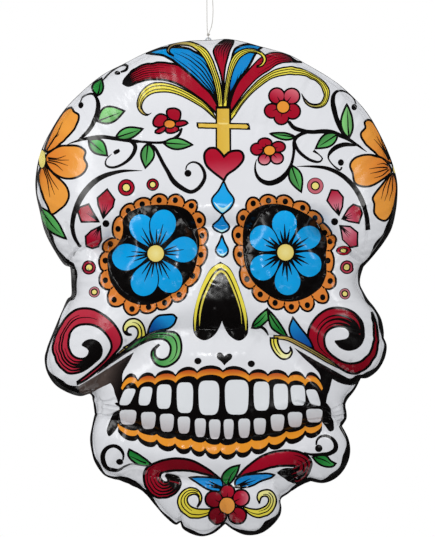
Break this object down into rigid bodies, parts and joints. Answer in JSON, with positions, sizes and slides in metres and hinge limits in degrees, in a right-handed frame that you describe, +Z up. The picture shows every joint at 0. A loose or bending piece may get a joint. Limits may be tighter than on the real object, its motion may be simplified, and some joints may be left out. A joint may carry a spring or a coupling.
{
  "type": "inflatable skull",
  "caption": "Inflatable hanging skull of two printed vinyl films with inner tie webs, a filling valve at the back and a thread loop.",
  "frame": {"origin": "top of the thread's loop, where a hook holds it", "axes": "+Z up, +Y out of the back of the skull, the face looks along -Y, +X to the right in a view of the face"},
  "size_m": [0.3909, 0.1449, 0.6016],
  "materials": {
    "printed_film": "glossy white vinyl film with a printed face",
    "back_film": "glossy white vinyl film",
    "web_film": "plain white vinyl film",
    "valve_vinyl": "soft moulded white vinyl",
    "clear_vinyl": "clear glossy vinyl",
    "thread": "thin twisted off-white thread"
  },
  "bodies": {
    "thread": {"hang_thread": "thread"},
    "knot": {"thread_knot": "thread"},
    "bight": {"thread_bight": "thread"},
    "skull": {"front_panel": "printed_film", "back_panel": "back_film", "forehead_web": "web_film", "brow_web_left": "web_film", "brow_web_middle": "web_film", "brow_web_right": "web_film", "cheek_web": "web_film", "mouth_web": "web_film", "chin_web": "web_film", "eye_sleeve_left": "web_film", "eye_sleeve_right": "web_film", "valve_body": "valve_vinyl", "eyelet_ring": "clear_vinyl"},
    "stem": {"valve_stem": "valve_vinyl"},
    "flap": {"valve_flap": "valve_vinyl"},
    "plug": {"valve_plug": "valve_vinyl"}
  },
  "joints": [
    {"name": "thread_twist", "type": "hinge", "parent": "thread", "child": "knot", "pos_m": [0, 0, -0.05957], "axis": [0, 0, 1], "range_deg": [-180, 180]},
    {"name": "skull_nod", "type": "hinge", "parent": "knot", "child": "bight", "pos_m": [0, 0, -0.05957], "axis": [1, 0, 0], "range_deg": [-25, 25]},
    {"name": "skull_swing", "type": "hinge", "parent": "bight", "child": "skull", "pos_m": [0, 0, -0.06512], "axis": [0, 1, 0], "range_deg": [-25, 25]},
    {"name": "stem_pull", "type": "slide", "parent": "skull", "child": "stem", "axis": [0, 1, 0], "range_m": [0, 0.0089]},
    {"name": "plug_open", "type": "hinge", "parent": "stem", "child": "plug", "pos_m": [0.00929, 0.06555, -0.32899], "axis": [1, 0, 0], "range_deg": [0, 150]},
    {"name": "flap_open", "type": "hinge", "parent": "stem", "child": "flap", "pos_m": [0.00929, 0.04815, -0.33159], "axis": [-1, 0, 0], "range_deg": [0, 60]}
  ]
}
